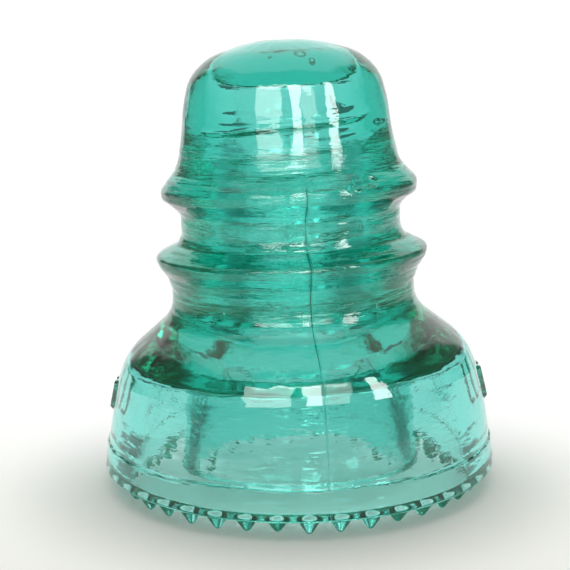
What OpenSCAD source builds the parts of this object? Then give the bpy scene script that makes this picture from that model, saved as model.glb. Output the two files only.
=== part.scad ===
// Pressed-glass pin insulator: a bell of solid glass with a domed crown, a wire groove
// between two ridges, a screwed pin hole, an inner skirt and a ring of drip points.
// One casting. Every node is one named region of it, and the regions meet face to face.
// Millimetres, +Z up, the drip points' tips at z = 0, the axis of the bell on Z.

/* [Overall] */
// overall height, drip tips to the top of the crown
height = 101.6; // [90:0.1:115]
// outside diameter at the base, over the corner of the rim
base_d = 91.8; // [86:0.1:98]
// height of the flat underside of the rim above the drip tips
rim_z = 3.5; // [2.5:0.1:5]
// height of the fine mould step around the skirt
step_z = 10; // [8:0.1:13]

/* [Outside shape] */
// diameter of the skirt just above the mould step
step_d = 89.4; // [84:0.1:94]
// diameter at the top corner of the skirt
skirt_top_d = 83.7; // [76:0.1:88]
// height of the top corner of the skirt
skirt_top_z = 25.5; // [22:0.1:28]
// diameter of the waist, the thinnest place below the ridges
waist_d = 56.2; // [52:0.1:60]
// middle height of the waist
waist_z = 43.3; // [41:0.1:46]
// diameter over the lower wire ridge
lower_ridge_d = 63.2; // [58:0.1:66]
// height of the lower wire ridge
lower_ridge_z = 53.7; // [50:0.1:55]
// diameter at the bottom of the wire groove
groove_d = 50.6; // [46:0.1:54]
// height of the middle of the wire groove
groove_z = 60.8; // [58:0.1:63]
// diameter over the upper wire ridge
upper_ridge_d = 59; // [54:0.1:62]
// height of the upper wire ridge
upper_ridge_z = 68; // [65:0.1:70]
// diameter of the crown where it leaves the upper ridge
crown_d = 48.6; // [46:0.1:52]
// diameter of the crown where the dome starts
dome_d = 46.7; // [43:0.1:48]
// height at which the dome starts
dome_z = 87.6; // [85:0.1:91]

/* [Pin hole] */
// diameter of the pin hole over the crests of its thread
thread_crest_d = 24; // [23:0.1:26]
// depth of the thread groove
thread_depth = 1.1; // [0.6:0.1:1.6]
// thread pitch, four turns to the inch, right hand
thread_pitch = 6.35; // [5:0.05:7]
// width of the thread groove at the crest diameter
thread_mouth_w = 3; // [2:0.1:3.1]
// width of the thread groove at its bottom
thread_floor_w = 1.2; // [0.6:0.1:2]
// height at which the thread starts
thread_z0 = 40; // [38:0.1:44]
// height at which the thread ends
thread_z1 = 85.5; // [80:0.1:88]
// direction in which the thread starts, degrees
thread_start = 25; // [0:1:359]
// height of the top of the pin hole's straight wall
hole_top_z = 89.8; // [86:0.1:91]
// radius between the pin hole's wall and its flat end
hole_fillet = 0.4; // [0.2:0.1:4]
// diameter of the plain entry below the thread
entry_d = 30.6; // [29:0.1:33]
// height at which the plain entry ends
entry_z = 35.5; // [33:0.1:37]
// diameter of the wide mouth inside the inner skirt, at its top
bell_top_d = 42; // [36:0.1:43]
// diameter of the wide mouth at its lower edge
bell_mouth_d = 48; // [40:0.1:50]

/* [Skirts] */
// height of the roof of the drip cavity between the skirts
cavity_z = 26; // [24:0.1:28]
// diameter of the drip cavity's outer wall at its mouth
cavity_mouth_d = 77.6; // [75:0.1:80]
// diameter of the drip cavity's outer wall at its roof
cavity_roof_d = 67.4; // [64:0.1:76]
// height of the inner skirt's lower edge
inner_z = 5.4; // [4.5:0.1:12]
// outside diameter of the inner skirt at its lower edge
inner_d = 55.2; // [50:0.1:58]
// outside diameter of the inner skirt at the cavity's roof
inner_top_d = 53; // [48:0.1:56]
// radius in the two corners of the drip cavity's roof
cavity_fillet = 1.4; // [0.5:0.1:3]

/* [Drip points] */
// number of drip points
drip_count = 40; // [30:1:48]
// diameter of the circle the drip points stand on
drip_circle_d = 83.8; // [80:0.1:85]
// diameter of a drip point at its root
drip_root_d = 5.6; // [3:0.1:6]
// diameter of the flat tip of a drip point
drip_tip_d = 0.8; // [0.6:0.1:2]
// direction of the first drip point, degrees
drip_start = 2.6; // [0:0.1:9]

/* [Raised marks] */
// number of plain raised bars on each side of the skirt
mark_count = 7; // [3:1:11]
// lower edge of the bars
mark_z0 = 17.6; // [14:0.1:20]
// upper edge of the bars
mark_z1 = 24.6; // [22:0.1:26]
// height of the bars above the skirt
mark_h = 0.9; // [0.3:0.1:1.5]
// width of a bar, degrees around the skirt
mark_w = 3.6; // [2:0.1:6]
// step from one bar to the next, degrees
mark_step = 7; // [5:0.1:10]
// how far the middle of each row of bars lies behind the side of the skirt, degrees
mark_back = 17; // [0:1:30]
// height of the mould seam above the glass
seam_h = 0.25; // [0.1:0.05:0.5]
// width of the mould seam, degrees
seam_w = 0.6; // [0.4:0.1:2]
// direction of the front mould seam about Z, degrees
seam_at = -82; // [-180:1:180]
// top of the mould seam
seam_top = 72; // [60:1:90]

/* [Choice] */
// node to draw, or all

/* [Hidden] */
glass = [0.16, 0.62, 0.56];
// flat cuts where one region ends and the next begins
cut_ridge_top = 71.5;
cut_groove_top = 64.2;
cut_groove_low = 57.2;
cut_waist_top = 49.2;
cut_waist_low = 40;
// height of the cone between the plain entry and the wide mouth under it
bell_step = 3.6;
// corners of the outside shape as [radius, height, corner radius], from the rim to the crown
corners = [
  [base_d/2 - 6, rim_z, 0],
  [base_d/2, rim_z, 0.9],
  [step_d/2 + 0.35, step_z, 0],
  [step_d/2, step_z + 0.25, 0],
  [step_d/2 - 0.8, step_z + 6.2, 40],
  [skirt_top_d/2, skirt_top_z, 1.2],
  [skirt_top_d/2 - 2.2, skirt_top_z + 5.8, 13.5],
  [waist_d/2 + 0.1, waist_z - 2.8, 7.6],
  [waist_d/2, waist_z + 2.9, 4.2],
  [lower_ridge_d/2 - 2.2, lower_ridge_z - 4.1, 2.3],
  [lower_ridge_d/2 - 0.6, lower_ridge_z - 2, 2],
  [lower_ridge_d/2, lower_ridge_z, 1.2],
  [groove_d/2 + 1.05, groove_z - 4.4, 2],
  [groove_d/2, groove_z - 2.4, 3.8],
  [groove_d/2, groove_z + 2.2, 2],
  [groove_d/2 + 1.15, groove_z + 3.7, 1.2],
  [upper_ridge_d/2 - 0.05, upper_ridge_z - 1.1, 1.6],
  [upper_ridge_d/2 + 0.05, upper_ridge_z + 1.1, 2],
  [crown_d/2 + 1.35, upper_ridge_z + 5.6, 7.5],
  [crown_d/2, upper_ridge_z + 11.3, 40],
  [dome_d/2, dome_z, 26],
  [dome_d/2 - 1.8, dome_z + 6.6, 10.8],
  [dome_d/2 - 6.8, height - 2.9, 12],
  [6.5, height, 30],
  [0, height, 0]
];

function unit(v) = v/norm(v);
// points of the arc that rounds corner b between a and c with radius r
function arc_points(a, b, c, r) =
  r <= 0 ? [b] :
  let (u = unit(a - b), w = unit(c - b))
  let (half = acos(u*w)/2, d = r/tan(half))
  let (m = b + unit(u + w)*r/sin(half))
  let (s = (b + u*d - m)/r, e = (b + w*d - m)/r)
  let (turn = acos(s*e), n = max(2, ceil(turn/5)))
  [for (k = [0:n]) m + r*(s*sin(turn*(1 - k/n)) + e*sin(turn*k/n))/sin(turn)];
function flat(p) = [p[0], p[1]];
outline = [for (i = [1:len(corners) - 2])
  each arc_points(flat(corners[i-1]), flat(corners[i]), flat(corners[i+1]), corners[i][2])];
radii = [for (p = outline) [p[1], p[0]]];
// outside radius at height z
function outside(z) = lookup(z, radii);
// the outside shape between two heights
function band(z0, z1) = concat(
  [[outside(z0), z0]],
  [for (p = outline) if (p[1] > z0 + 0.02 && p[1] < z1 - 0.02) p],
  [[outside(z1), z1]]);
// the same shape, grown outwards by h
function grown(z0, z1, h) = [for (p = band(z0, z1)) [p[0] + h, p[1]]];
function backwards(list) = [for (i = [len(list) - 1:-1:0]) list[i]];
// radius of the drip cavity's outer wall and of the inner skirt's outside at height z
function cavity_r(z) = cavity_mouth_d/2 + (cavity_roof_d - cavity_mouth_d)/2*(z - rim_z)/(cavity_z - rim_z);
function inner_r(z) = inner_d/2 + (inner_top_d - inner_d)/2*(z - inner_z)/(cavity_z - inner_z);
// quarter of a rounding, centre c, radius r, from angle a0 to angle a1
function rounding(c, r, a0, a1) = [for (k = [0:6]) c + r*[cos(a0 + (a1 - a0)*k/6), sin(a0 + (a1 - a0)*k/6)]];

// the two mould seams over one region
module seam(z0, z1) {
  for (a = [seam_at, seam_at + 180])
    rotate([0, 0, a - seam_w/2])
      rotate_extrude(angle = seam_w, $fn = 720)
        polygon(concat([[outside(z0) - 1, z0]], grown(z0, z1, seam_h), [[outside(z1) - 1, z1]]));
}

// one ring of the body with the thread's crest radius as its inside wall
module ring(z0, z1) {
  rotate_extrude($fn = 180)
    polygon(concat([[thread_crest_d/2, z0]], band(z0, z1), [[thread_crest_d/2, z1]]));
}

// the right-hand thread groove, for cutting, over the turns that touch one region
thread_steps = 36;
thread_total = floor((thread_z1 - thread_z0)/thread_pitch*thread_steps);
thread_reach = ceil((thread_mouth_w/2 + 0.8)/thread_pitch*thread_steps);
function thread_index(z) = (z - thread_z0)/thread_pitch*thread_steps;
// the groove runs out over half a turn at each end
function run_out(i) = min(1, min(i, thread_total - i)/(thread_steps/2));
flank = (thread_mouth_w - thread_floor_w)/2/thread_depth;
function groove_section(i) =
  let (a = thread_start + i*360/thread_steps, z = thread_z0 + i*thread_pitch/thread_steps)
  let (ri = thread_crest_d/2 - 0.7, ro = thread_crest_d/2 - 0.25 + (thread_depth + 0.25)*run_out(i))
  let (wi = thread_mouth_w/2 + 0.7*flank, wo = thread_mouth_w/2 - (ro - thread_crest_d/2)*flank)
  [[ri*cos(a), ri*sin(a), z - wi], [ro*cos(a), ro*sin(a), z - wo],
   [ro*cos(a), ro*sin(a), z + wo], [ri*cos(a), ri*sin(a), z + wi]];
module thread_groove(z0, z1) {
  i0 = max(0, floor(thread_index(z0)) - thread_reach);
  i1 = min(thread_total, ceil(thread_index(z1)) + thread_reach);
  n = i1 - i0;
  points = [for (i = [i0:i1]) each groove_section(i)];
  sides = [for (k = [0:n-1]) for (j = [0:3])
    let (a = 4*k + j, b = 4*k + (j + 1)%4)
    each [[a, b, a + 4], [b, b + 4, a + 4]]];
  polyhedron(points = points, faces = concat([[0, 2, 1], [0, 3, 2]], sides,
    [[4*n, 4*n + 1, 4*n + 2], [4*n, 4*n + 2, 4*n + 3]]), convexity = 12);
}

module crown_cap() {
  color(glass)
    rotate_extrude($fn = 180)
      polygon(concat(
        [[outside(hole_top_z), hole_top_z]],
        [for (p = outline) if (p[1] > hole_top_z + 0.02) p],
        [[0, height], [0, hole_top_z + hole_fillet]],
        rounding([thread_crest_d/2 - hole_fillet, hole_top_z], hole_fillet, 90, 0)));
}

module crown_wall() {
  color(glass)
    difference() {
      union() {
        ring(cut_ridge_top, hole_top_z);
        seam(cut_ridge_top, seam_top);
      }
      thread_groove(cut_ridge_top, hole_top_z);
    }
}

module upper_wire_ridge() {
  color(glass)
    difference() {
      union() {
        ring(cut_groove_top, cut_ridge_top);
        seam(cut_groove_top, cut_ridge_top);
      }
      thread_groove(cut_groove_top, cut_ridge_top);
    }
}

module wire_groove() {
  color(glass)
    difference() {
      union() {
        ring(cut_groove_low, cut_groove_top);
        seam(cut_groove_low, cut_groove_top);
      }
      thread_groove(cut_groove_low, cut_groove_top);
    }
}

module lower_wire_ridge() {
  color(glass)
    difference() {
      union() {
        ring(cut_waist_top, cut_groove_low);
        seam(cut_waist_top, cut_groove_low);
      }
      thread_groove(cut_waist_top, cut_groove_low);
    }
}

module waist() {
  color(glass)
    difference() {
      union() {
        ring(cut_waist_low, cut_waist_top);
        seam(cut_waist_low, cut_waist_top);
      }
      thread_groove(cut_waist_low, cut_waist_top);
    }
}

module shoulder() {
  color(glass)
    difference() {
      union() {
        rotate_extrude($fn = 180)
          polygon(concat(
            [[(entry_d + bell_top_d)/4, cavity_z]],
            band(cavity_z, cut_waist_low),
            [[thread_crest_d/2, cut_waist_low], [thread_crest_d/2, entry_z + 2.6]],
            [[entry_d/2, entry_z], [entry_d/2, cavity_z + bell_step/2]]));
        seam(cavity_z, cut_waist_low);
      }
      thread_groove(entry_z + 3, cut_waist_low);
    }
}

module outer_skirt() {
  f = cavity_fillet;
  color(glass)
    union() {
      rotate_extrude($fn = 180)
        polygon(concat(
          [[cavity_r(step_z), step_z]],
          band(step_z, cavity_z),
          rounding([cavity_r(cavity_z - f) - f, cavity_z - f], f, 90, 0)));
      seam(step_z, cavity_z);
    }
}

module base_rim() {
  color(glass)
    union() {
      rotate_extrude($fn = 180)
        polygon(concat(
          rounding([cavity_mouth_d/2 + 0.5, rim_z + 0.5], 0.5, 180, 270),
          band(rim_z, step_z),
          [[cavity_r(step_z), step_z]]));
      seam(rim_z + 1, step_z);
    }
}

module inner_skirt() {
  f = cavity_fillet;
  color(glass)
    rotate_extrude($fn = 180)
      polygon(concat(
        [[(entry_d + bell_top_d)/4, cavity_z]],
        [[bell_top_d/2, cavity_z - bell_step/2]],
        rounding([bell_mouth_d/2 + 1, inner_z + 1], 1, 173, 270),
        rounding([inner_d/2 - 1.2, inner_z + 1.2], 1.2, 270, 360),
        rounding([inner_r(cavity_z - f) + f, cavity_z - f], f, 180, 90)));
}

module drip_points() {
  color(glass)
    for (i = [0:drip_count - 1])
      rotate([0, 0, drip_start + 360*i/drip_count])
        translate([drip_circle_d/2, 0, 0])
          cylinder(h = rim_z, d1 = drip_tip_d, d2 = drip_root_d, $fn = 24);
}

module raised_marks() {
  color(glass)
    for (middle = [mark_back, 180 - mark_back])
      for (k = [0:mark_count - 1])
        rotate([0, 0, middle + (k - (mark_count - 1)/2)*mark_step - mark_w/2])
          rotate_extrude(angle = mark_w, $fn = 360)
            polygon(concat(
              band(mark_z0, mark_z1),
              backwards(grown(mark_z0 + 0.4, mark_z1 - 0.4, mark_h))));
}

crown_cap();
crown_wall();
upper_wire_ridge();
wire_groove();
lower_wire_ridge();
waist();
shoulder();
outer_skirt();
base_rim();
inner_skirt();
drip_points();
raised_marks();
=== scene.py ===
"""Pressed-glass pin insulator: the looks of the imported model, in metres, in the CAD's own frame.

The glass is one closed mesh. Its half-section is a chain of points, radius and height in
millimetres, that runs from the top of the crown down the outside, round the rim, through the drip
cavity and up the pin hole. Each point becomes a row round the axis, and each stretch of the chain
has a function that adds what the casting has there: swells, thread, seams, bars, chips, drip points.
"""

import math

import bpy
import numpy as np
from mathutils import Matrix, Vector


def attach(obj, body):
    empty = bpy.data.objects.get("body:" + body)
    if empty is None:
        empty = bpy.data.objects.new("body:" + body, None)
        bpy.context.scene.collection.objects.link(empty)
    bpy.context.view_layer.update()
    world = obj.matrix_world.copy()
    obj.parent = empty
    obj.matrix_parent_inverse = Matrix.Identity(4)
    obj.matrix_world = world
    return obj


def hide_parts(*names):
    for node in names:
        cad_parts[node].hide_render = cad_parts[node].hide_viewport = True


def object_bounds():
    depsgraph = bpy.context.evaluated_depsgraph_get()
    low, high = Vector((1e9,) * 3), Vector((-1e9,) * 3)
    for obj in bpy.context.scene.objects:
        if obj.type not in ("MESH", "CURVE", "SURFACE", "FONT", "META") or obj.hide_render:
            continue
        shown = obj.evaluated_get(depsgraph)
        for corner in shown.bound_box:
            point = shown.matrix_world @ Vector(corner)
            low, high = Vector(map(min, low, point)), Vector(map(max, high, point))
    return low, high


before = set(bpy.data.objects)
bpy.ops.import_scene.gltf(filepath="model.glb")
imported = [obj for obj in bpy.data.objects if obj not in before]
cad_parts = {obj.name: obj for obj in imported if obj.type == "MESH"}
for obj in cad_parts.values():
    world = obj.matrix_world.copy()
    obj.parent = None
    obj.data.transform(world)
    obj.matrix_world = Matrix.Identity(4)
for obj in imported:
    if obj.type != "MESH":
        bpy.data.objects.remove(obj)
cad_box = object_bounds()

MM = 0.001
low, high = Vector(cad_box[0]), Vector(cad_box[1])
HEIGHT = (high.z - low.z) / MM


# ---------------------------------------------------------------- sizes: millimetres and degrees

# outside, from the rim up: D is a diameter, Z its height
RIM_Z, BASE_D = 3.5, 91.8
STEP_Z, STEP_D = 10.0, 89.4  # the fine step that the mould's parting leaves
SKIRT_Z, SKIRT_D = 25.5, 83.7  # corner between the skirt and the shoulder
WAIST_Z, WAIST_D = 43.3, 56.2
LOW_Z, LOW_D = 53.7, 63.2  # ridge below the wire groove
GROOVE_Z, GROOVE_D = 60.8, 50.6
UP_Z, UP_D = 68.0, 59.0  # ridge above the wire groove
CROWN_D, DOME_D, DOME_Z = 48.6, 46.7, 87.6

# pin hole: thread crests and groove, where the thread begins and ends, its flat end, plain entry
CREST_R, DEPTH, PITCH = 12.0, 1.1, 6.35
THREAD_0, THREAD_1, THREAD_A = 40.0, 85.5, 25.0
GROOVE_HALF = 1.85
HOLE_Z, HOLE_FILLET = 89.8, 0.4
ENTRY_R, ENTRY_Z = 15.3, 35.5
ENTRY_TOP = ENTRY_Z + 2.6

# drip cavity between the skirts, inner skirt, wide mouth of the pin hole
ROOF_Z, ROOF_R, MOUTH_R, FILLET = 26.0, 33.7, 38.8, 1.4
INNER_Z, INNER_R, INNER_TOP_R = 5.4, 27.6, 26.5
BELL_R, BELL_TOP_R, BELL_STEP = 24.0, 21.0, 3.6
RIM_EDGE, INNER_EDGE, BELL_EDGE = 0.5, 1.2, 1.0  # roundings at the foot of the two skirts

# drip points: how many, the ring they stand on, root and tip radius, angle of the first
DRIPS, DRIP_R, DRIP_ROOT, DRIP_TIP, DRIP_START = 40, 41.9, 2.8, 0.4, 2.625

# A SPAN is where something shows, as the four values of band(): it fades in from the first to the
# second and out from the third to the fourth. They are heights, or radii on the rim.

# mould seam, and a second one opposite
SEAM_A, SEAM_HALF, SEAM_RISE = -82.0, 0.26, 0.24
SEAM_SPAN = (4.0, 5.0, 69.0, 74.0)

# plain raised bars on both sides of the skirt, a little towards the back
BARS, BAR_PITCH, BAR_BACK, BAR_RISE = 7, 7.0, 17.0, 0.85
BAR_SPAN, BAR_SIDE = (17.4, 18.0, 24.2, 24.8), (1.35, 2.1)

# flakes knocked off the upper ridge: angle, height, half width in degrees, half height, depth
CHIPS = [(-54.0, 70.8, 7.5, 1.5, 0.35), (-61.5, 69.6, 3.0, 0.9, 0.3), (-6.0, 67.4, 5.0, 1.5, 0.45)]

# unevenness of the casting, layers of: seed, size, cells round the axis, cell length along the section
OUTER_SWELL = [(11, 0.07, 14, 17.0), (12, 0.03, 60, 5.0)]
OUTER_STREAKS = [(13, 0.09, 16, 1.9), (14, 0.05, 26, 0.9)]
OUTER_GRAIN = [(15, 0.012, 120, 1.6)]
CORNER_WRINKLES = [(19, 0.05, 80, 2.6)]
STEP_WANDER = [(16, 0.12, 240, 9.0), (17, 0.14, 24, 9.0)]
CHIP_FACETS = [(18, 0.5, 180, 0.7)]  # parts of the chip's depth
RIM_RIPPLE = [(22, 0.03, 90, 2.0)]
CAVITY_SWELL = [(31, 0.12, 12, 12.0), (32, 0.03, 50, 4.0)]
INNER_SWELL = [(33, 0.10, 9, 9.0), (34, 0.04, 40, 3.0)]
ENTRY_SWELL = [(35, 0.10, 7, 10.0), (36, 0.03, 30, 3.0)]
THREAD_DRIFT = [(41, 0.03, 10, 3.0)]  # turns
THREAD_SWELL = [(42, 0.09, 10, 2.6), (43, 0.05, 24, 1.1)]
END_SWELL = [(44, 0.01, 6, 6.0)]
STREAK_SPAN = (44.0, 50.0, 77.0, 81.0)
CORNER_SPAN = (25.8, 27.6, 32.0, 40.0)
RIM_SPAN = (39.2, 39.8, 44.0, 44.8)
STEP_REACH = 1.2  # how far from the mould step its wandering dies away
CALM_UNDER, CALM_Z, CALM_R = 12.0, (3.5, 9.0), (44.9, 45.6)  # the outside is even near the rim
CAVITY_CALM = (4.0, 8.0)

# drip points that came out short: their part of the ring, their least height and the rest of it
DRIP_SEED, SHORT_DRIPS, SHORT_LEAST, SHORT_MORE = 21, 0.55, 0.80, 0.36
DRIP_STRETCH, TIP_BLUNT = 1.06, 0.06

# air bubbles in the glass: place and half sizes
BUBBLES = [
    ((5.9, -14.0, 95.2), (0.75, 0.6, 1.0)),
    ((3.4, -11.0, 95.9), (1.3, 0.9, 0.9)),
    ((-2.6, -12.0, 98.6), (0.45, 0.4, 0.5)),
    ((-2.6, -13.0, 96.2), (0.42, 0.4, 0.5)),
    ((14.4, -16.0, 60.2), (0.55, 0.5, 1.1)),
    ((18.0, -20.0, 43.2), (0.8, 0.6, 0.9)),
    ((-14.5, -20.6, 43.0), (0.7, 0.6, 0.7)),
    ((-29.5, 24.0, 21.0), (0.8, 0.7, 1.3)),
    ((9.0, 14.5, 80.0), (0.5, 0.5, 0.6)),
    ((-12.0, 18.5, 58.0), (0.6, 0.6, 0.5)),
    ((30.0, 14.0, 30.5), (0.7, 0.6, 0.6)),
]
BALL_RINGS, BALL_SIDES = 10, 16

# the bell sits a little crooked on its rim
LEAN, LEAN_Z, LEAN_FROM = 0.030, 17.0, (10.5, 24.0)  # slope towards -X, the height that stays put
FRONT_LIFT, FRONT_SPAN = 0.045, (12.0, 25.0, 29.0, 46.0)  # lifts the skirt's corner at the front
TOP_DROP, TOP_FROM = 0.25, (88.0, 101.0)  # keeps the leaning crown below the CAD's top

# spacing of the points along the section and round the axis
OUTER_STEP, OUTER_STEP_FINE, RIM_STEP, THREAD_STEP = 0.6, 0.4, 0.19, 0.35
INSIDE_STEP, END_STEP = 0.7, 0.8
COLUMN_STEP, COLUMN_GAP = 0.75, 0.05
SEAM_COLUMNS = (-0.62, -0.47, -0.28, -0.14, 0.0, 0.14, 0.28, 0.47, 0.62)
FINE_BELOW = 5.2  # rows below this height have twice the columns, for the drip points


# ---------------------------------------------------------------- half-section

def unit(v):
    return v / np.linalg.norm(v)


def rounded(corners, step=4.0):
    """A chain of points through [r, z, corner radius] corners, each corner an arc."""
    pts = [np.array(corners[0][:2], float)]
    for i in range(1, len(corners) - 1):
        a, b, c = (np.array(corners[j][:2], float) for j in (i - 1, i, i + 1))
        r = corners[i][2]
        if r <= 0:
            pts.append(b)
            continue
        u, w = unit(a - b), unit(c - b)
        half = math.acos(float(np.clip(u @ w, -1, 1))) / 2
        m = b + unit(u + w) * r / math.sin(half)
        s = (b + u * r / math.tan(half) - m) / r
        e = (b + w * r / math.tan(half) - m) / r
        turn = math.acos(float(np.clip(s @ e, -1, 1)))
        n = max(2, math.ceil(math.degrees(turn) / step))
        for k in range(n + 1):
            t = k / n
            at = s * math.sin((1 - t) * turn) + e * math.sin(t * turn)
            pts.append(m + r * at / math.sin(turn))
    pts.append(np.array(corners[-1][:2], float))
    return pts


def dense(pts, step):
    """The same chain with no piece longer than step (a number, or a function of height)."""
    out = [np.array(pts[0], float)]
    for a, b in zip(pts[:-1], pts[1:]):
        a, b = np.array(a, float), np.array(b, float)
        size = step((a[1] + b[1]) / 2) if callable(step) else step
        n = max(1, math.ceil(np.linalg.norm(b - a) / size))
        out += [a + (b - a) * k / n for k in range(1, n + 1)]
    return out


def arc(c, r, a0, a1, n=6):
    """Points on an arc of radius r round c, from angle a0 to a1 in degrees."""
    angles = [math.radians(a0 + (a1 - a0) * k / n) for k in range(n + 1)]
    return [np.array([c[0] + r * math.cos(a), c[1] + r * math.sin(a)]) for a in angles]


def outside():
    """The outside, from the rim up to the middle of the crown."""
    corners = [
        # rim, mould step and skirt
        [BASE_D / 2 - 6, RIM_Z, 0],
        [BASE_D / 2, RIM_Z, 0.9],
        [STEP_D / 2 + 0.35, STEP_Z, 0],
        [STEP_D / 2 - 0.16, STEP_Z + 0.16, 0],
        [STEP_D / 2 - 0.02, STEP_Z + 0.5, 0],
        [STEP_D / 2 - 0.8, STEP_Z + 6.2, 40],
        [SKIRT_D / 2, SKIRT_Z, 1.2],
        [SKIRT_D / 2 - 2.2, SKIRT_Z + 5.8, 13.5],
        # neck
        [WAIST_D / 2 + 0.1, WAIST_Z - 2.8, 7.6],
        [WAIST_D / 2, WAIST_Z + 2.9, 4.2],
        # lower ridge
        [LOW_D / 2 - 2.2, LOW_Z - 4.1, 2.3],
        [LOW_D / 2 - 0.6, LOW_Z - 2, 2],
        [LOW_D / 2, LOW_Z, 1.2],
        # wire groove
        [GROOVE_D / 2 + 1.05, GROOVE_Z - 4.4, 2],
        [GROOVE_D / 2, GROOVE_Z - 2.4, 3.8],
        [GROOVE_D / 2, GROOVE_Z + 2.2, 2],
        [GROOVE_D / 2 + 1.15, GROOVE_Z + 3.7, 1.2],
        # upper ridge
        [UP_D / 2 - 0.05, UP_Z - 1.1, 1.6],
        [UP_D / 2 + 0.05, UP_Z + 1.1, 2],
        # crown
        [CROWN_D / 2 + 1.35, UP_Z + 5.6, 7.5],
        [CROWN_D / 2, UP_Z + 11.3, 40],
        [DOME_D / 2, DOME_Z, 26],
        [DOME_D / 2 - 1.8, DOME_Z + 6.6, 10.8],
        [DOME_D / 2 - 6.8, HEIGHT - 2.9, 12],
        [6.5, HEIGHT, 30],
        [0, HEIGHT, 0],
    ]
    outline = rounded(corners)[1:]
    # the ledge at the mould step keeps its two edges crisp
    ledge = [k for k, p in enumerate(outline) if abs(p[1] - STEP_Z) < 0.3]
    outline.insert(ledge[-1] + 1, outline[ledge[-1]] + np.array([-0.002, 0.03]))
    outline.insert(ledge[0], outline[ledge[0]] + np.array([0.004, -0.03]))
    return outline


def outside_step(z):
    """Closer points on the skirt and on the ridges and the groove."""
    return OUTER_STEP_FINE if 14 < z < 28 or 46 < z < 76 else OUTER_STEP


def cavity_r(z):
    return MOUTH_R + (ROOF_R - MOUTH_R) * (z - RIM_Z) / (ROOF_Z - RIM_Z)


def inner_r(z):
    return INNER_R + (INNER_TOP_R - INNER_R) * (z - INNER_Z) / (ROOF_Z - INNER_Z)


def half_section():
    """Points (r, z, stretch) from the top of the crown to the end of the hole."""
    section = []

    def add(points, stretch):
        for r, z in points:
            if section and abs(section[-1][0] - r) < 1e-6 and abs(section[-1][1] - z) < 1e-6:
                continue
            section.append((float(r), float(z), stretch))

    down = dense(outside(), outside_step)[::-1]
    add(down, outer)
    add(dense([down[-1], (MOUTH_R + RIM_EDGE, RIM_Z)], RIM_STEP), rim)
    wall = arc((MOUTH_R + RIM_EDGE, RIM_Z + RIM_EDGE), RIM_EDGE, 270, 180)
    wall += arc((cavity_r(ROOF_Z - FILLET) - FILLET, ROOF_Z - FILLET), FILLET, 0, 90)
    wall += arc((inner_r(ROOF_Z - FILLET) + FILLET, ROOF_Z - FILLET), FILLET, 90, 180)
    add(dense(wall, INSIDE_STEP), cavity)
    skirt = [wall[-1]]
    skirt += arc((INNER_R - INNER_EDGE, INNER_Z + INNER_EDGE), INNER_EDGE, 0, -90)
    skirt += arc((BELL_R + BELL_EDGE, INNER_Z + BELL_EDGE), BELL_EDGE, 270, 173)
    add(dense(skirt, INSIDE_STEP), inner)
    foot, top = (BELL_TOP_R, ROOF_Z - BELL_STEP / 2), (ENTRY_R, ROOF_Z + BELL_STEP / 2)
    add(dense([skirt[-1], foot, top, (ENTRY_R, ENTRY_Z), (CREST_R, ENTRY_TOP)], INSIDE_STEP), entry)
    add(dense([(CREST_R, ENTRY_TOP), (CREST_R, HOLE_Z)], THREAD_STEP), thread)
    ceiling = arc((CREST_R - HOLE_FILLET, HOLE_Z), HOLE_FILLET, 0, 90, 5)
    add(dense(ceiling + [np.array([0, HOLE_Z + HOLE_FILLET])], END_STEP), end)
    return section


# ---------------------------------------------------------------- noise

def hashed(seed, *cells):
    """A number from 0 to 1 for each lattice cell, the same on every run."""
    h = np.full(np.broadcast(*cells).shape, seed * 2654435761 % 4294967296, np.uint64)
    for k, c in enumerate(cells):
        h = (h ^ (c.astype(np.int64) + 1000003 * (k + 1)).astype(np.uint64)) * np.uint64(0x9E3779B97F4A7C15)
        h ^= h >> np.uint64(29)
    h *= np.uint64(0xBF58476D1CE4E5B9)
    h ^= h >> np.uint64(32)
    return (h & np.uint64(0xFFFFFF)).astype(float) / 0xFFFFFF


def noise(seed, u, v, round_u):
    """Smooth noise from -1 to 1 over cell coordinates u and v; u closes on itself after round_u cells."""
    iu, iv = np.floor(u).astype(np.int64), np.floor(v).astype(np.int64)
    fu, fv = u - iu, v - iv
    fu, fv = fu * fu * fu * (fu * (fu * 6 - 15) + 10), fv * fv * fv * (fv * (fv * 6 - 15) + 10)
    a0, a1 = np.mod(iu, round_u), np.mod(iu + 1, round_u)
    n00, n10 = hashed(seed, a0, iv), hashed(seed, a1, iv)
    n01, n11 = hashed(seed, a0, iv + 1), hashed(seed, a1, iv + 1)
    return ((n00 * (1 - fu) + n10 * fu) * (1 - fv) + (n01 * (1 - fu) + n11 * fu) * fv) * 2 - 1


def uneven(layers, deg, s):
    """The sum of noise layers at the angles deg and the distance s along the section."""
    total = np.zeros_like(deg)
    for seed, size, cells_round, length in layers:
        u = np.mod(deg, 360.0) / 360.0 * cells_round
        total += size * noise(seed, u, s / length + 500.0, cells_round)
    return total


def ramp(x, a, b):
    """0 up to a, 1 from b, smooth between them."""
    t = np.clip((x - a) / (b - a), 0, 1)
    return t * t * (3 - 2 * t)


def band(x, a, b, c, d):
    """1 from b to c, fading to 0 at a and at d."""
    return ramp(x, a, b) * (1 - ramp(x, c, d))


def apart(deg, centre):
    return np.abs(np.mod(deg - centre + 180.0, 360.0) - 180.0)


# ---------------------------------------------------------------- stretches of the surface
# Each takes a row's angles deg, its r and z and the distance s along the section. It gives how far
# the points move out of the glass, along r and along z.

def seams(deg, r, z):
    away = np.minimum(apart(deg, SEAM_A), apart(deg, SEAM_A + 180)) * math.pi / 180 * r
    return SEAM_RISE * np.exp(-((away / SEAM_HALF) ** 2)) * band(z, *SEAM_SPAN)


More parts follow.
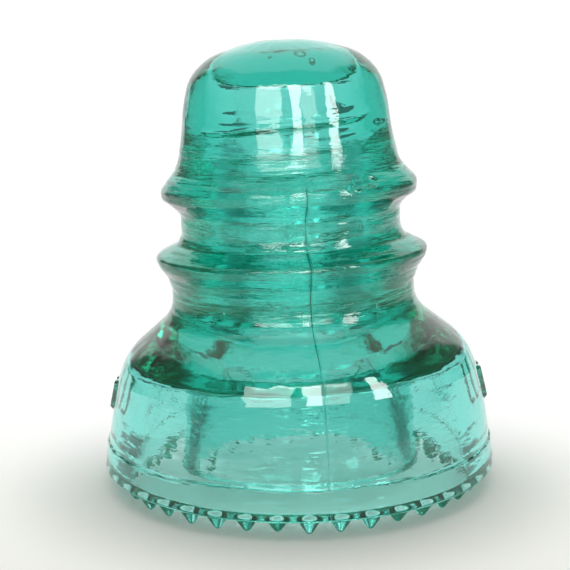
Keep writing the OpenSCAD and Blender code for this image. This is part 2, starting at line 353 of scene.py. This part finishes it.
def bars(deg, z):
    on = np.zeros_like(deg)
    for middle in (BAR_BACK, 180.0 - BAR_BACK):
        for k in range(BARS):
            aside = apart(deg, middle + (k - (BARS - 1) / 2) * BAR_PITCH)
            on = np.maximum(on, 1 - ramp(aside, *BAR_SIDE))
    return BAR_RISE * on * band(z, *BAR_SPAN)


def chips(deg, z, s):
    out = np.zeros_like(deg)
    for middle, level, wide, tall, deep in CHIPS:
        away = np.hypot(apart(deg, middle) / wide, (z - level) / tall)
        out += deep * (1 - ramp(away, 0.7, 1.0)) * (1 + uneven(CHIP_FACETS, deg, s))
    return out


def outer(deg, r, z, s):
    """The outside, streaked from the neck to the foot of the crown and calm near the rim."""
    streak = band(z, *STREAK_SPAN)
    push = uneven(OUTER_SWELL, deg, s)
    push += streak * uneven(OUTER_STREAKS, deg, s)
    push += (1 - streak) * uneven(OUTER_GRAIN, deg, s)
    push += band(z, *CORNER_SPAN) * uneven(CORNER_WRINKLES, deg, s)
    if z < CALM_UNDER:
        push *= ramp(z, *CALM_Z) * (1 - ramp(r, *CALM_R))
    push += seams(deg, r, z) + bars(deg, z) - chips(deg, z, s)
    near_step = math.exp(-(((z - STEP_Z) / STEP_REACH) ** 2))
    return push, 0.0, near_step * uneven(STEP_WANDER, deg, np.zeros_like(deg))


def rim(deg, r, z, s):
    """The flat rim with its ring of drip points, rounded cones of which some are short."""
    pitch = 360.0 / DRIPS
    k = np.round((deg - DRIP_START) / pitch)
    aside = np.radians(deg - DRIP_START - k * pitch) * DRIP_R
    away = np.hypot(aside, r - DRIP_R)
    odd = hashed(DRIP_SEED, np.mod(k, DRIPS).astype(np.int64), np.zeros_like(k).astype(np.int64))
    tall = np.where(odd > SHORT_DRIPS, 1.0, SHORT_LEAST + SHORT_MORE * odd)
    cone = np.clip((DRIP_ROOT - away) / (DRIP_ROOT - DRIP_TIP), 0, 1)
    cone = cone - TIP_BLUNT * ramp(cone, 0.8, 1.0)
    down = np.minimum(RIM_Z * tall * cone * DRIP_STRETCH, RIM_Z - 0.001)
    flat = (cone <= 0) * band(r, *RIM_SPAN)
    return 0.0, 0.0, flat * uneven(RIM_RIPPLE, deg, s) - down


def cavity(deg, r, z, s):
    return uneven(CAVITY_SWELL, deg, s) * ramp(z, *CAVITY_CALM), 0.0, 0.0


def inner(deg, r, z, s):
    return uneven(INNER_SWELL, deg, s), 0.0, 0.0


def entry(deg, r, z, s):
    return uneven(ENTRY_SWELL, deg, s) * ramp(ENTRY_TOP - z, 0.0, 2.0), 0.0, 0.0


def thread(deg, r, z, s):
    """The thread, a rounded right-hand groove that fades out at both ends."""
    turns = (z - THREAD_0) / PITCH - (deg - THREAD_A) / 360.0 + uneven(THREAD_DRIFT, deg, s)
    away = np.abs(turns - np.round(turns)) * PITCH
    groove = 0.5 + 0.5 * np.cos(math.pi * np.clip(away / GROOVE_HALF, 0, 1))
    along_hole = band(z, THREAD_0 - 1.0, THREAD_0 + 3.0, THREAD_1 - 3.0, THREAD_1 + 0.8)
    return 0.0, DEPTH * groove * along_hole + uneven(THREAD_SWELL, deg, s), 0.0


def end(deg, r, z, s):
    return 0.0, 0.0, uneven(END_SWELL, deg, s) * min(1.0, r / 6.0)


# ---------------------------------------------------------------- glass mesh

def columns():
    """Angles of the points round the axis, with more of them at the seams, and the same doubled."""
    extra = [SEAM_A + side + o for side in (0, 180) for o in SEAM_COLUMNS]
    angles = np.concatenate([np.arange(0, 360, COLUMN_STEP), extra])
    angles = np.unique(np.round(np.mod(angles, 360.0), 4))
    coarse = [angles[0]]
    for a in angles[1:]:
        if a - coarse[-1] >= COLUMN_GAP:
            coarse.append(a)
    coarse = np.array(coarse)
    following = np.append(coarse[1:], coarse[0] + 360.0)
    return coarse, np.ravel(np.stack([coarse, (coarse + following) / 2], 1))


def rows_of(section):
    """One row of points round the axis for each point of the section except its two ends."""
    coarse, fine = columns()
    flat = np.array([(r, z) for r, z, _ in section])
    along = np.concatenate([[0], np.cumsum(np.linalg.norm(np.diff(flat, axis=0), axis=1))])
    tangent = np.gradient(flat, axis=0)
    tangent /= np.linalg.norm(tangent, axis=1)[:, None]
    rows = []
    for i in range(1, len(section) - 1):
        r, z, stretch = section[i]
        use_fine = stretch is rim or (stretch in (outer, cavity) and z < FINE_BELOW)
        deg = fine if use_fine else coarse
        push, aside, up = stretch(deg, r, z, along[i])
        rr = r + aside - push * tangent[i][1]  # out of the glass is to the left of the section's run
        zz = z + up + push * tangent[i][0]
        around = np.radians(deg)
        rows.append(np.stack(np.broadcast_arrays(rr * np.cos(around), rr * np.sin(around), zz), 1))
    return rows


def between(a, na, b, nb):
    """Faces between two rows that start at a and b: quads, or triangles where one has twice the points."""
    n = min(na, nb)
    j = np.arange(n)
    k = (j + 1) % n
    if na == nb:
        return [np.stack([a + j, b + j, b + k, a + k], 1)], []
    if na < nb:
        return [], [
            np.stack([a + j, b + 2 * j, b + 2 * j + 1], 1),
            np.stack([a + j, b + 2 * j + 1, a + k], 1),
            np.stack([a + k, b + 2 * j + 1, b + (2 * j + 2) % nb], 1),
        ]
    return [], [
        np.stack([a + 2 * j, b + j, a + 2 * j + 1], 1),
        np.stack([a + 2 * j + 1, b + j, b + k], 1),
        np.stack([a + 2 * j + 1, b + k, a + (2 * j + 2) % na], 1),
    ]


def casting():
    """The closed surface of the glass: points, quads and triangles."""
    section = half_section()
    rows = rows_of(section)
    starts = 1 + np.concatenate([[0], np.cumsum([len(row) for row in rows])])
    top, bottom = np.array([[0, 0, section[0][1]]]), np.array([[0, 0, section[-1][1]]])
    j = np.arange(len(rows[0]))
    k = (j + 1) % len(j)
    quads, tris = [], [np.stack([np.zeros(len(j), int), starts[0] + j, starts[0] + k], 1)]
    for i in range(len(rows) - 1):
        q, t = between(starts[i], len(rows[i]), starts[i + 1], len(rows[i + 1]))
        quads += q
        tris += t
    tris.append(np.stack([starts[-2] + j, np.full(len(j), starts[-1]), starts[-2] + k], 1))
    return np.concatenate([top] + rows + [bottom]), quads, tris


def bubble(base, middle, half):
    """A closed ellipsoid that faces inwards, whose points are numbered from base."""
    (x, y, z), (a, b, c) = middle, half
    pts = [(x, y, z + c)]
    for i in range(1, BALL_RINGS):
        t = math.pi * i / BALL_RINGS
        for j in range(BALL_SIDES):
            p = 2 * math.pi * j / BALL_SIDES
            across, along = a * math.cos(p), b * math.sin(p)
            pts.append((x + across * math.sin(t), y + along * math.sin(t), z + c * math.cos(t)))
    pts.append((x, y, z - c))
    j = np.arange(BALL_SIDES)
    k = (j + 1) % BALL_SIDES
    rings = [base + 1 + i * BALL_SIDES for i in range(BALL_RINGS - 1)]
    quads = [np.stack([r0 + j, r0 + k, r1 + k, r1 + j], 1) for r0, r1 in zip(rings, rings[1:])]
    tris = [
        np.stack([np.full(BALL_SIDES, base), rings[0] + k, rings[0] + j], 1),
        np.stack([rings[-1] + j, rings[-1] + k, np.full(BALL_SIDES, base + len(pts) - 1)], 1),
    ]
    return np.array(pts), quads, tris


def crooked(co):
    """Everything above the mould step leans towards -X, and its front edge is a touch higher."""
    x, y, z = co.T
    slope = LEAN * ramp(z, *LEAN_FROM)
    front = FRONT_LIFT * band(z, *FRONT_SPAN)
    height = z + slope * x - front * y - TOP_DROP * ramp(z, *TOP_FROM)
    return np.stack([x - slope * (z - LEAN_Z), y, height], 1)


def glass_mesh():
    co, quads, tris = casting()
    for middle, half in BUBBLES:
        pts, q, t = bubble(len(co), middle, half)
        co = np.concatenate([co, pts])
        quads += q
        tris += t
    quads, tris = np.concatenate(quads), np.concatenate(tris)
    mesh = bpy.data.meshes.new("insulator_glass")
    mesh.vertices.add(len(co))
    mesh.vertices.foreach_set("co", (crooked(co) * MM).astype(np.float32).ravel())
    mesh.loops.add(quads.size + tris.size)
    corners = np.concatenate([quads.ravel(), tris.ravel()])
    mesh.loops.foreach_set("vertex_index", corners.astype(np.int32))
    mesh.polygons.add(len(quads) + len(tris))
    begins = np.concatenate([np.arange(len(quads)) * 4, quads.size + np.arange(len(tris)) * 3])
    mesh.polygons.foreach_set("loop_start", begins.astype(np.int32))
    mesh.polygons.foreach_set("use_smooth", np.ones(len(begins), bool))
    mesh.update(calc_edges=True)
    mesh.validate()
    return mesh


# ---------------------------------------------------------------- material of the glass

GLASS_TINT, GLASS_IOR = (0.93, 0.955, 0.95, 1), 1.52
DENSITY = 100.0
TAKEN = (84.0, 16.0, 22.0)  # what a metre of the glass takes from red, green and blue
# heights in metres where the level wrinkles fade in, from none to full, and where they fade out
WRINKLES_BEGIN, WRINKLES_END = (0.034, 0.046), (0.0815, 0.0765)


def cleared(owner):
    """The node tree of a material or a world, emptied."""
    owner.use_nodes = True
    tree = owner.node_tree
    for n in list(tree.nodes):
        tree.nodes.remove(n)
    return tree


def add_node(tree, kind, inputs=None, **settings):
    """A new node with its settings, such as its operation, and the values of its input sockets."""
    n = tree.nodes.new("ShaderNode" + kind)
    for name, value in settings.items():
        setattr(n, name, value)
    for socket, value in (inputs or {}).items():
        n.inputs[socket].default_value = value
    return n


def map_range(tree, from_min, from_max, to_min=0.0, to_max=1.0, interpolation_type="SMOOTHSTEP"):
    ends = {"From Min": from_min, "From Max": from_max, "To Min": to_min, "To Max": to_max}
    return add_node(tree, "MapRange", ends, interpolation_type=interpolation_type)


def pressed_glass():
    """Clear blue-green glass with a faint grain, wrinkled level with the rim from the neck to the crown."""
    mat = bpy.data.materials.new("pressed_glass")
    tree = cleared(mat)
    link = tree.links.new
    out = add_node(tree, "OutputMaterial")
    surface = {"Base Color": GLASS_TINT, "IOR": GLASS_IOR, "Transmission Weight": 1.0, "Roughness": 0.0}
    bsdf = add_node(tree, "BsdfPrincipled", surface)
    link(bsdf.outputs["BSDF"], out.inputs["Surface"])
    colour = tuple(1 - t / DENSITY for t in TAKEN) + (1.0,)
    absorb = add_node(tree, "VolumeAbsorption", {"Color": colour, "Density": DENSITY})
    link(absorb.outputs["Volume"], out.inputs["Volume"])

    coord = add_node(tree, "TexCoord")
    stretch = add_node(tree, "Mapping", {"Scale": (1, 1, 4)})
    link(coord.outputs["Object"], stretch.inputs["Vector"])
    grain = add_node(tree, "TexNoise", {"Scale": 160.0, "Detail": 3.0})
    link(stretch.outputs["Vector"], grain.inputs["Vector"])
    bump = add_node(tree, "Bump", {"Strength": 0.35, "Distance": 0.00016})
    link(grain.outputs["Fac"], bump.inputs["Height"])

    level = add_node(tree, "Mapping", {"Scale": (1, 1, 9)})
    link(coord.outputs["Object"], level.inputs["Vector"])
    fold = add_node(tree, "TexNoise", {"Scale": 80.0, "Detail": 4.0})
    link(level.outputs["Vector"], fold.inputs["Vector"])
    at = add_node(tree, "SeparateXYZ")
    link(coord.outputs["Object"], at.inputs["Vector"])
    below = map_range(tree, *WRINKLES_END)
    link(at.outputs["Z"], below.inputs["Value"])
    above = map_range(tree, *WRINKLES_BEGIN)
    link(at.outputs["Z"], above.inputs["Value"])
    within = add_node(tree, "Math", operation="MULTIPLY")
    link(below.outputs["Result"], within.inputs[0])
    link(above.outputs["Result"], within.inputs[1])
    folded = add_node(tree, "Math", operation="MULTIPLY")
    link(fold.outputs["Fac"], folded.inputs[0])
    link(within.outputs["Value"], folded.inputs[1])
    wrinkle = add_node(tree, "Bump", {"Strength": 1.0, "Distance": 0.00045})
    link(folded.outputs["Value"], wrinkle.inputs["Height"])
    link(bump.outputs["Normal"], wrinkle.inputs["Normal"])
    link(wrinkle.outputs["Normal"], bsdf.inputs["Normal"])
    return mat


# ---------------------------------------------------------------- floor and backdrop

FLOOR_R, FLOOR_SIDES = 3.0, 96
# painted shade: the paper's colour is darker towards the front, standing in for light that falls off
# towards the camera
PAINTED_SHADE_FRONT, PAINTED_SHADE_BACK = (0.88, 0.88, 0.82, 1), (1.0, 1.0, 0.97, 1)
PAINTED_SHADE_Y = (-0.07, 0.03)  # metres, from the painted shade at the front of the paper to its lit colour at the back
WHITE_Y = (-0.02, 0.10)  # where the paper has melted into white
PAINTED_LIGHT, PAINTED_LIGHT_AWAY = (0.15, 0.42), (0.042, 0.078)  # painted light (an emission) on the paper near the part and away from it, weaker near the part as a painted contact shadow
PAINTED_LIGHT_COLOUR = (1.0, 1.0, 0.96, 1)
WHITE, ROOM = (1.06, 1.06, 1.06, 1), (0.22, 0.22, 0.21, 1)
BACKDROP_WAY = (0.0, 0.8, 0.6)  # direction of the middle of the backdrop, behind and above the part
BACKDROP_FROM = (0.36, 0.48)  # cosine from that direction at its soft ends
BACKDROP_HALF = (0.62, 0.50)  # sideways part of a direction at its soft edges, from none to full


def paper_painted_shade_and_light():
    """White paper, painted darker towards the front as painted shade, with a painted light emission that is
    weaker near the part as a painted contact shadow, melting into white behind it.
    """
    mat = bpy.data.materials.new("paper_painted_shade_and_light")
    tree = cleared(mat)
    link = tree.links.new
    out = add_node(tree, "OutputMaterial")
    paper = add_node(tree, "BsdfDiffuse")
    # painted shade: the paper's colour darkens towards the front
    painted_shade_ramp = map_range(tree, *PAINTED_SHADE_Y, interpolation_type="LINEAR")
    painted_shade_colour = add_node(tree, "Mix", {"A": PAINTED_SHADE_FRONT, "B": PAINTED_SHADE_BACK}, data_type="RGBA")
    behind = add_node(tree, "Emission", {"Color": WHITE})
    # painted light: an emission on the paper that is weaker near the part, a painted contact shadow
    painted_light = add_node(tree, "Emission", {"Color": PAINTED_LIGHT_COLOUR})
    far = add_node(tree, "VectorMath", operation="LENGTH")
    painted_shadow_ramp = map_range(tree, *PAINTED_LIGHT_AWAY, *PAINTED_LIGHT)
    paper_and_painted_light = add_node(tree, "AddShader")
    mix = add_node(tree, "MixShader")
    coord = add_node(tree, "TexCoord")
    at = add_node(tree, "SeparateXYZ")
    fade = map_range(tree, *WHITE_Y)
    link(coord.outputs["Object"], at.inputs["Vector"])
    link(at.outputs["Y"], fade.inputs["Value"])
    link(at.outputs["Y"], painted_shade_ramp.inputs["Value"])
    link(painted_shade_ramp.outputs["Result"], painted_shade_colour.inputs["Factor"])
    link(painted_shade_colour.outputs["Result"], paper.inputs["Color"])
    link(coord.outputs["Object"], far.inputs[0])
    link(far.outputs["Value"], painted_shadow_ramp.inputs["Value"])
    link(painted_shadow_ramp.outputs["Result"], painted_light.inputs["Strength"])
    link(paper.outputs["BSDF"], paper_and_painted_light.inputs[0])
    link(painted_light.outputs["Emission"], paper_and_painted_light.inputs[1])
    link(fade.outputs["Result"], mix.inputs["Fac"])
    link(paper_and_painted_light.outputs["Shader"], mix.inputs[1])
    link(behind.outputs["Emission"], mix.inputs[2])
    link(mix.outputs["Shader"], out.inputs["Surface"])
    return mat


def round_floor():
    mesh = bpy.data.meshes.new("floor")
    turns = [2 * math.pi * k / FLOOR_SIDES for k in range(FLOOR_SIDES)]
    edge = [(FLOOR_R * math.cos(t), FLOOR_R * math.sin(t), low.z) for t in turns]
    mesh.from_pydata(edge, [], [list(range(FLOOR_SIDES))])
    obj = bpy.data.objects.new("floor", mesh)
    bpy.context.scene.collection.objects.link(obj)
    mesh.materials.append(paper_painted_shade_and_light())
    return obj


def studio():
    """A grey room with a white backdrop, a strip that runs up behind the part and over it."""
    world = bpy.data.worlds.new("studio")
    bpy.context.scene.world = world
    tree = cleared(world)
    link = tree.links.new
    out = add_node(tree, "OutputWorld")
    sky = add_node(tree, "Background")
    coord = add_node(tree, "TexCoord")
    toward = add_node(tree, "VectorMath", {1: BACKDROP_WAY}, operation="DOT_PRODUCT")
    along_strip = map_range(tree, *BACKDROP_FROM)
    at = add_node(tree, "SeparateXYZ")
    aside = add_node(tree, "Math", operation="ABSOLUTE")
    across_strip = map_range(tree, *BACKDROP_HALF)
    on_strip = add_node(tree, "Math", operation="MULTIPLY")
    mix = add_node(tree, "Mix", {"A": ROOM, "B": WHITE}, data_type="RGBA")
    link(coord.outputs["Generated"], toward.inputs[0])
    link(toward.outputs["Value"], along_strip.inputs["Value"])
    link(coord.outputs["Generated"], at.inputs["Vector"])
    link(at.outputs["X"], aside.inputs[0])
    link(aside.outputs["Value"], across_strip.inputs["Value"])
    link(along_strip.outputs["Result"], on_strip.inputs[0])
    link(across_strip.outputs["Result"], on_strip.inputs[1])
    link(on_strip.outputs["Value"], mix.inputs["Factor"])
    link(mix.outputs["Result"], sky.inputs["Color"])
    link(sky.outputs["Background"], out.inputs["Surface"])


# ---------------------------------------------------------------- lights and camera

LIGHT_AWAY, LIGHT_TARGET = 0.8, Vector((0, 0, 0.06))
# window panes: azimuth from the front (-Y) towards +X and elevation in degrees, width, height, radiance
WINDOWS = {
    "window_left": (-20, 24, 0.39, 0.40, 6.0),
    "window_middle": (10.5, 24, 0.19, 0.40, 13.0),
    "window_beside": (26, 24, 0.19, 0.40, 4.0),
    "window_right": (53.5, 24, 0.15, 0.40, 13.0),
    "window_top": (-1, 37, 0.80, 0.06, 6.0),
}
CAM_BACK, CAM_UP = 0.2998, 0.100  # metres in front of the axis and above the floor
CAM_PITCH, CAM_YAW, CAM_ROLL = 10.39, -0.53, -0.86  # degrees
SENSOR, LENS = 36.0, 82.42105  # millimetres


def window_light(name, azimuth, elevation, width, tall, radiance):
    """A rectangle of light that faces the middle of the part."""
    a, e = math.radians(azimuth), math.radians(elevation)
    way = Vector((math.sin(a) * math.cos(e), -math.cos(a) * math.cos(e), math.sin(e)))
    data = bpy.data.lights.new(name, "AREA")
    data.shape = "RECTANGLE"
    data.size, data.size_y = width, tall
    data.energy = radiance * math.pi * width * tall
    obj = bpy.data.objects.new(name, data)
    obj.location = LIGHT_TARGET + way * LIGHT_AWAY
    obj.rotation_euler = (-way).to_track_quat("-Z", "Y").to_euler()
    obj.visible_camera = False
    obj.visible_diffuse = False
    bpy.context.scene.collection.objects.link(obj)


def camera():
    data = bpy.data.cameras.new("camera")
    data.sensor_width = SENSOR
    data.lens = LENS
    data.clip_start = 0.01
    obj = bpy.data.objects.new("camera", data)
    bpy.context.scene.collection.objects.link(obj)
    obj.location = (0, -CAM_BACK, low.z + CAM_UP)
    pitch, yaw, roll = (math.radians(v) for v in (CAM_PITCH, CAM_YAW, CAM_ROLL))
    forward = Vector((math.sin(yaw) * math.cos(pitch), math.cos(yaw) * math.cos(pitch), -math.sin(pitch)))
    level = Vector((math.cos(yaw), -math.sin(yaw), 0))
    upright = level.cross(forward)
    right = level * math.cos(roll) + upright * math.sin(roll)
    up = -level * math.sin(roll) + upright * math.cos(roll)
    obj.rotation_euler = Matrix((right, up, -forward)).transposed().to_euler()
    bpy.context.scene.camera = obj


def light_paths():
    """Enough bounces for light to pass all the walls of the glass."""
    scene = bpy.context.scene
    scene.view_settings.view_transform = "Standard"
    scene.cycles.max_bounces = 40
    scene.cycles.transmission_bounces = 36
    scene.cycles.glossy_bounces = 16
    scene.cycles.volume_bounces = 0
    scene.cycles.sample_clamp_indirect = 8.0


# ---------------------------------------------------------------- the scene

mesh = glass_mesh()
glass = bpy.data.objects.new("insulator_glass", mesh)
bpy.context.scene.collection.objects.link(glass)
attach(glass, "root")
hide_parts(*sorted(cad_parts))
mesh.materials.append(pressed_glass())

floor = round_floor()
studio()
for name, pane in WINDOWS.items():
    window_light(name, *pane)
camera()
light_paths()
